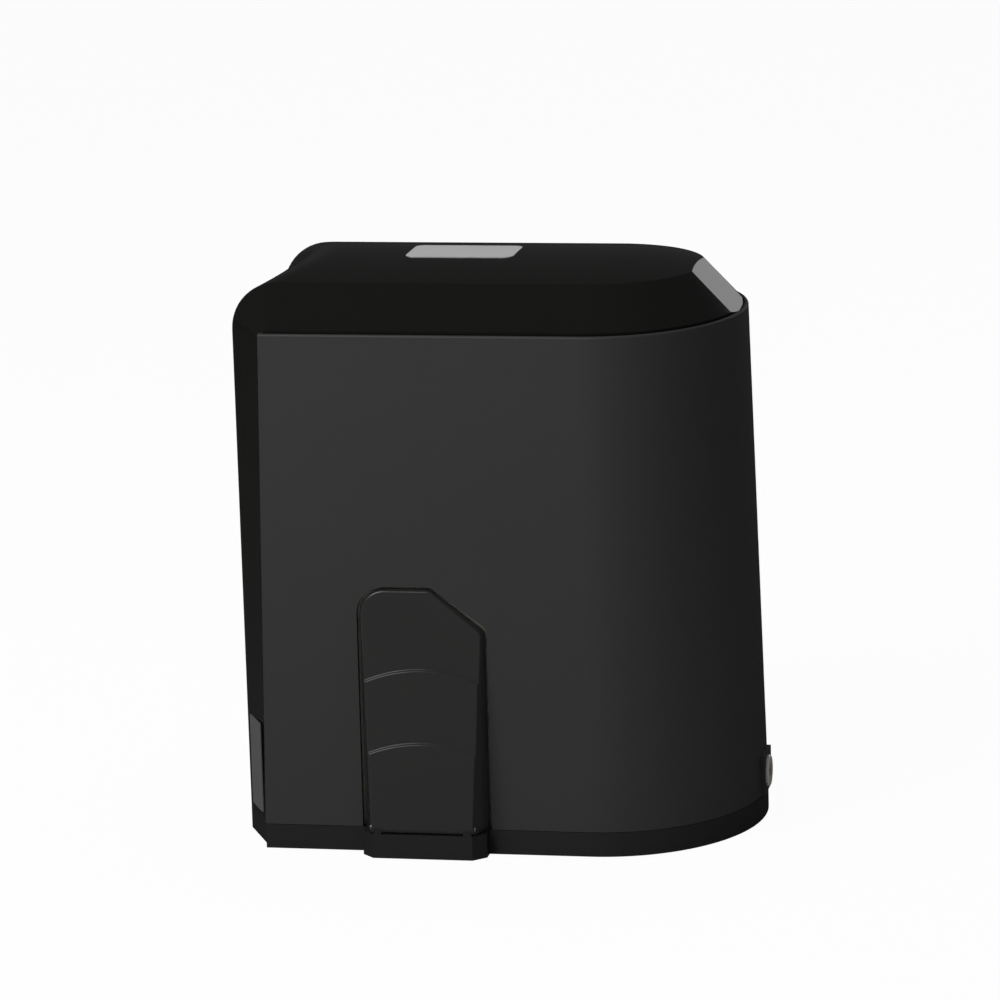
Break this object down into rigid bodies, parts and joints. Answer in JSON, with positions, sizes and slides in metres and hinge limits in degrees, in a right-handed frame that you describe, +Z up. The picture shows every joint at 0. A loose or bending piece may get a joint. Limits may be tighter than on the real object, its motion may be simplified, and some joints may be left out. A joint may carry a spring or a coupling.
{
  "type": "sliding gate motor",
  "caption": "Tall electric drive for a sliding gate: two-tone cover with a crowned roof and a faceted end, front release lever, side lock and a toothed pinion at the back.",
  "frame": {"origin": "underside of the base, centred on its depth and on the straight part's datum", "axes": "+X along the gate towards the round end, +Y towards the gate, +Z up"},
  "size_m": [0.291, 0.244, 0.3245],
  "materials": {
    "cover_matte": "fine moulded grain",
    "cover_gloss": "polished",
    "plate_silver": "brushed",
    "plate_grey": "smooth",
    "base_paint": "matt powder coat",
    "lever_gloss": "polished",
    "steel": "turned",
    "hard_steel": "machined, oiled",
    "zinc_steel": "zinc plated",
    "bronze": "machined",
    "brass": "machined",
    "lock_chrome": "polished",
    "cast_aluminium": "as cast",
    "rubber": "matt",
    "board_green": "solder mask",
    "block_grey": "moulded",
    "block_black": "moulded",
    "block_green": "moulded",
    "copper": "enamelled wire",
    "lamination": "stacked sheets",
    "capacitor_white": "moulded",
    "button_white": "moulded"
  },
  "bodies": {
    "chassis": {"backplate_screws": "zinc_steel", "base_tray": "base_paint", "bearing_spacer": "steel", "board_carrier": "zinc_steel", "cable_grommet": "rubber", "capacitor_cup": "block_grey", "control_board": "board_green", "foot_screws": "zinc_steel", "fuse_holder": "block_black", "gearbox_cover": "cast_aluminium", "gearbox_housing": "cast_aluminium", "gearbox_screws": "zinc_steel", "learn_switch": "block_black", "lever_backplate": "zinc_steel", "lever_pin": "steel", "limit_box": "block_black", "lock_keeper": "zinc_steel", "motor_bolts": "zinc_steel", "motor_end_cap": "cast_aluminium", "motor_housing": "cast_aluminium", "output_bearing_inner": "steel", "output_bearing_outer": "steel", "receiver_module": "block_grey", "relays": "block_black", "rotor_bearing_top": "steel", "run_capacitor": "capacitor_white", "shaft_seal": "rubber", "smoothing_capacitor": "block_black", "stator_core": "lamination", "stator_windings": "copper", "terminal_blocks": "block_green", "transformer_coil": "copper", "transformer_core": "lamination", "worm_bearing_lower": "steel", "worm_bearing_upper": "steel"},
    "cover": {"side_shell": "cover_matte", "spine_shell": "cover_gloss", "roof_badge": "plate_silver", "side_plate": "plate_grey", "spine_screws": "zinc_steel", "lock_barrel": "lock_chrome", "lock_nut": "zinc_steel"},
    "lock": {"lock_plug": "brass", "lock_cam": "zinc_steel"},
    "lever": {"release_lever": "lever_gloss"},
    "output": {"output_shaft": "hard_steel", "worm_wheel": "bronze", "wheel_spacer": "steel", "drive_pinion": "hard_steel", "pinion_key": "hard_steel", "pinion_washer": "zinc_steel", "pinion_screw": "zinc_steel", "clutch_spring": "steel"},
    "clutch": {"clutch_dog": "hard_steel", "release_rod": "steel"},
    "rotor": {"worm_shaft": "hard_steel", "rotor_core": "lamination"},
    "limit_finger": {"limit_head": "block_grey", "limit_spring": "steel"},
    "button": {"learn_button": "button_white"}
  },
  "joints": [
    {"name": "cover_lift", "type": "slide", "parent": "chassis", "child": "cover", "axis": [0, 0, 1], "range_m": [0, 0.34]},
    {"name": "lock_turn", "type": "hinge", "parent": "cover", "child": "lock", "pos_m": [0.132, 0, 0.0255], "axis": [1, 0, 0], "range_deg": [0, 90]},
    {"name": "lever_swing", "type": "hinge", "parent": "chassis", "child": "lever", "pos_m": [-0.03775, -0.1071, 0.0172], "axis": [1, 0, 0], "range_deg": [0, 90]},
    {"name": "output_spin", "type": "hinge", "parent": "chassis", "child": "output", "pos_m": [-0.038, 0, 0.078], "axis": [0, 1, 0], "continuous": true},
    {"name": "clutch_slide", "type": "slide", "parent": "output", "child": "clutch", "axis": [0, -1, 0], "range_m": [0, 0.0045], "deforming": ["clutch_spring"]},
    {"name": "rotor_spin", "type": "hinge", "parent": "chassis", "child": "rotor", "pos_m": [0.01, 0.012, 0], "axis": [0, 0, 1], "continuous": true},
    {"name": "limit_swing", "type": "hinge", "parent": "chassis", "child": "limit_finger", "pos_m": [-0.038, 0.1, 0.158], "axis": [0, 1, 0], "range_deg": [-30, 30], "stiffness_Nm_per_rad": 0.4},
    {"name": "button_press", "type": "slide", "parent": "chassis", "child": "button", "axis": [1, 0, 0], "range_m": [0, 0.0005], "stiffness_N_per_m": 1500}
  ],
  "couplings": [
    {"joint": "output_spin", "follows": "rotor_spin", "ratio": 0.033333},
    {"joint": "clutch_slide", "follows": "lever_swing", "m_per_rad": 0.00286}
  ]
}
